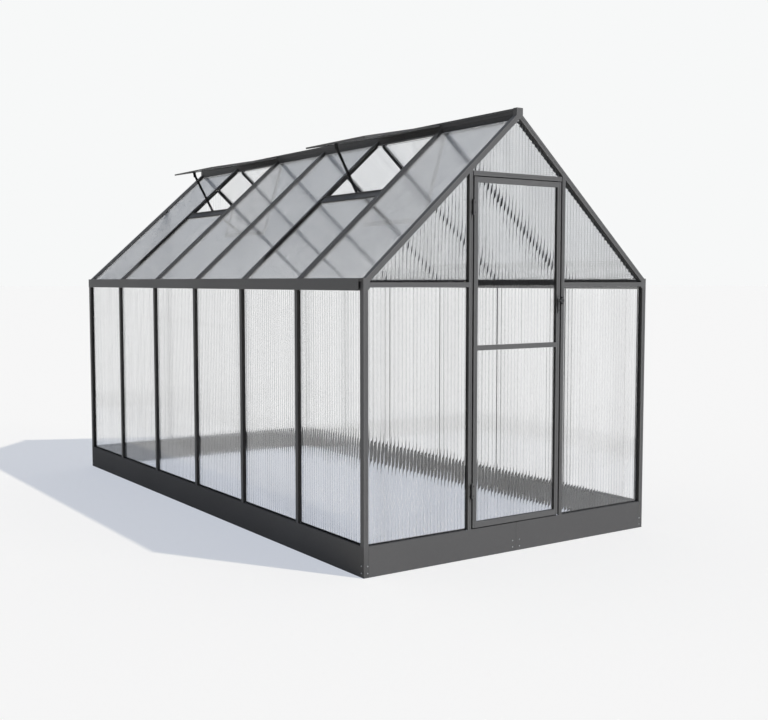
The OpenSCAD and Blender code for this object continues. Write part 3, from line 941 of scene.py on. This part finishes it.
class GREENHOUSE_OT_roof_sheets(bpy.types.Operator):
    """Makes the fluted sheets of the roof"""

    bl_idname = "greenhouse.roof_sheets"
    bl_label = "Roof sheets"

    def execute(self, context):
        sheets = context.scene.greenhouse_sheets
        sheet_group(ROOF_SHEETS + ("window_sheets",), "roof_sheet", "house", sheets.roof_pitch)
        return {"FINISHED"}


class GREENHOUSE_OT_gable_sheets(bpy.types.Operator):
    """Makes the fluted sheets of the gables"""

    bl_idname = "greenhouse.gable_sheets"
    bl_label = "Gable sheets"

    def execute(self, context):
        sheet_group(GABLE_SHEETS, "gable_sheet", "house")
        return {"FINISHED"}


class GREENHOUSE_OT_door_sheets(bpy.types.Operator):
    """Makes the fluted sheets of the door"""

    bl_idname = "greenhouse.door_sheets"
    bl_label = "Door sheets"

    def execute(self, context):
        sheet_group(("door_sheets",), "gable_sheet", "door")
        return {"FINISHED"}


# ---------------------------------------------------------------- stage

BACKDROP = (0.93, 0.939, 0.939)
MIRRORED_HORIZON = (0.84, 0.85, 0.86)
MIRRORED_ABOVE = (0.24, 0.265, 0.31)
# Factors on the light from in front, from the left and on what is inside
MIRRORED_BEFORE = 0.08
MIRRORED_ASIDE = 0.1
SKY_BEFORE = 0.12
SKY_INSIDE = 0.4
# Where each factor begins and ends, along the direction's X, Y or Z
SKY_TURN = (-0.6, 0.15)
MIRRORED_TURN = (-0.5, 0.2)
MIRRORED_SIDE = (-0.68, -0.54)
MIRRORED_HEIGHTS = (0.05, 0.35)
FIRST_HIT = 0.5
CAMERA_PLACE = (-3.57397, -5.8806, 1.36361)
CAMERA_PITCH = -0.07318
CAMERA_YAW = -0.59922
CAMERA_LENS = 50.11
SUN_TOWARDS = Vector((0.335, -0.55, 0.765))
FILL_TOWARDS = Vector((0.56, -0.82, 0.0))
LAMP_AWAY = 6.0
FLOOR_REACH = 300.0
FLOOR_GAP = 0.0005
SENSOR_WIDTH = 36
VIEW_REACH = 1000
CLEAR_BOUNCES = 32
GLOSSY_BOUNCES = 8


def make_world(stage):
    """A soft sky that is dimmer in front, and a pale backdrop where it is looked at."""
    world = bpy.data.worlds.new("studio")
    bpy.context.scene.world = world
    world.use_nodes = True
    tree = world.node_tree
    tree.nodes.clear()
    output = tree.nodes.new("ShaderNodeOutputWorld")
    background = tree.nodes.new("ShaderNodeBackground")
    tree.links.new(background.outputs[0], output.inputs["Surface"])
    place = tree.nodes.new("ShaderNodeTexCoord")
    path = tree.nodes.new("ShaderNodeLightPath")
    split = tree.nodes.new("ShaderNodeSeparateXYZ")
    tree.links.new(place.outputs["Generated"], split.inputs["Vector"])

    level = spread(tree, split.outputs["Y"], SKY_BEFORE, 1.0, *SKY_TURN)
    sky = shade_of(tree, stage.sky_colour, level)
    height = spread(tree, split.outputs["Z"], 0.0, 1.0, *MIRRORED_HEIGHTS)
    behind = spread(tree, split.outputs["Y"], MIRRORED_BEFORE, 1.0, *MIRRORED_TURN)
    aside = spread(tree, split.outputs["X"], MIRRORED_ASIDE, 1.0, *MIRRORED_SIDE)
    horizon = shade_of(tree, MIRRORED_HORIZON, aside)
    mirrored = shade_of(tree, blend(tree, height, horizon, MIRRORED_ABOVE), behind)
    direct = maths(tree, "LESS_THAN", path.outputs["Diffuse Depth"], FIRST_HIT)
    later = maths(tree, "SUBTRACT", 1.0, direct)
    inside = maths(tree, "MULTIPLY", path.outputs["Is Transmission Ray"], later)
    sky = shade_of(tree, sky, spread(tree, inside, 1.0, SKY_INSIDE, 0.0, 1.0))
    bounced = maths(tree, "GREATER_THAN", path.outputs["Glossy Depth"], FIRST_HIT)
    glossy = maths(tree, "MULTIPLY", bounced, direct)
    straight = maths(tree, "SUBTRACT", direct, glossy)
    through = maths(tree, "MULTIPLY", path.outputs["Is Transmission Ray"], straight)
    seen = maths(tree, "MAXIMUM", path.outputs["Is Camera Ray"], through)
    colour = blend(tree, glossy, sky, mirrored)
    tree.links.new(blend(tree, seen, colour, BACKDROP), background.inputs["Color"])


def make_floor(stage):
    """A pale floor that keeps the shadow of the house."""
    half = FLOOR_REACH
    mesh = bpy.data.meshes.new("floor")
    mesh.from_pydata(
        [(-half, -half, 0), (half, -half, 0), (half, half, 0), (-half, half, 0)],
        [],
        [(0, 1, 2, 3)],
    )
    floor = bpy.data.objects.new("floor", mesh)
    bpy.context.scene.collection.objects.link(floor)
    floor.location.z = CAD_BOX[0][2] - FLOOR_GAP
    material = bpy.data.materials.new("floor")
    material.use_nodes = True
    tree = material.node_tree
    tree.nodes.clear()
    output = tree.nodes.new("ShaderNodeOutputMaterial")
    matt = tree.nodes.new("ShaderNodeBsdfDiffuse")
    set_plain(matt, Color=stage.floor_colour)
    lift = tree.nodes.new("ShaderNodeEmission")
    set_plain(lift, Color=stage.floor_lift)
    path = tree.nodes.new("ShaderNodeLightPath")
    direct = maths(tree, "LESS_THAN", path.outputs["Diffuse Depth"], FIRST_HIT)
    tree.links.new(direct, lift.inputs["Strength"])
    both = tree.nodes.new("ShaderNodeAddShader")
    tree.links.new(matt.outputs[0], both.inputs[0])
    tree.links.new(lift.outputs[0], both.inputs[1])
    tree.links.new(both.outputs[0], output.inputs["Surface"])
    mesh.materials.append(material)


def make_lamp(name, towards, strength, size):
    """A far lamp that shines from one direction."""
    lamp = bpy.data.lights.new(name, "SUN")
    lamp.energy = strength
    lamp.angle = size
    lamp.cycles.use_multiple_importance_sampling = False
    holder = bpy.data.objects.new(name, lamp)
    holder.rotation_mode = "QUATERNION"
    holder.rotation_quaternion = towards.to_track_quat("Z", "Y")
    holder.location = towards * LAMP_AWAY
    bpy.context.scene.collection.objects.link(holder)


def make_camera():
    """The camera, level with a person's chest, left of the door end."""
    lens = bpy.data.cameras.new("camera")
    lens.lens = CAMERA_LENS
    lens.sensor_width = SENSOR_WIDTH
    lens.clip_end = VIEW_REACH
    camera = bpy.data.objects.new("camera", lens)
    camera.location = CAMERA_PLACE
    camera.rotation_euler = (math.pi / 2 + CAMERA_PITCH, 0, CAMERA_YAW)
    bpy.context.scene.collection.objects.link(camera)
    bpy.context.scene.camera = camera


class GREENHOUSE_OT_stage(bpy.types.Operator):
    """Makes the floor, the lamps and the camera"""

    bl_idname = "greenhouse.stage"
    bl_label = "Stage"

    def execute(self, context):
        stage = context.scene.greenhouse_stage
        make_world(stage)
        make_floor(stage)
        make_lamp("sun", SUN_TOWARDS, stage.sun_strength, stage.sun_size)
        make_lamp("fill", FILL_TOWARDS, stage.fill_strength, stage.fill_size)
        make_camera()
        scene = context.scene
        scene.view_settings.view_transform = "Standard"
        scene.cycles.max_bounces = CLEAR_BOUNCES
        scene.cycles.transmission_bounces = CLEAR_BOUNCES
        scene.cycles.glossy_bounces = GLOSSY_BOUNCES
        return {"FINISHED"}


class GREENHOUSE_PT_panel(bpy.types.Panel):
    """Lists the steps of the greenhouse"""

    bl_idname = "GREENHOUSE_PT_panel"
    bl_label = "Greenhouse"
    bl_space_type = "VIEW_3D"
    bl_region_type = "UI"
    bl_category = "Greenhouse"

    def draw(self, context):
        for group in ("greenhouse_sheets", "greenhouse_frame", "greenhouse_stage"):
            settings = getattr(context.scene, group)
            box = self.layout.box()
            for name in settings.bl_rna.properties.keys():
                if name not in ("rna_type", "name"):
                    box.prop(settings, name)
        for step in OPERATORS:
            self.layout.operator(step.bl_idname)


OPERATORS = (
    GREENHOUSE_OT_stage,
    GREENHOUSE_OT_frame_finish,
    GREENHOUSE_OT_base_finish,
    GREENHOUSE_OT_fittings,
    GREENHOUSE_OT_base_screws,
    GREENHOUSE_OT_hinge_screws,
    GREENHOUSE_OT_wall_sheets,
    GREENHOUSE_OT_roof_sheets,
    GREENHOUSE_OT_gable_sheets,
    GREENHOUSE_OT_door_sheets,
)
SETTINGS = {
    "greenhouse_sheets": SheetSettings,
    "greenhouse_frame": FrameSettings,
    "greenhouse_stage": StageSettings,
}


def register():
    for cls in (*SETTINGS.values(), *OPERATORS, GREENHOUSE_PT_panel):
        bpy.utils.register_class(cls)
    for name, group in SETTINGS.items():
        setattr(bpy.types.Scene, name, PointerProperty(type=group))


def unregister():
    for name in SETTINGS:
        delattr(bpy.types.Scene, name)
    for cls in (GREENHOUSE_PT_panel, *reversed(OPERATORS), *SETTINGS.values()):
        bpy.utils.unregister_class(cls)


def main():
    register()
    for step in OPERATORS:
        group, name = step.bl_idname.split(".")
        getattr(getattr(bpy.ops, group), name)()


if __name__ == "__main__":
    main()
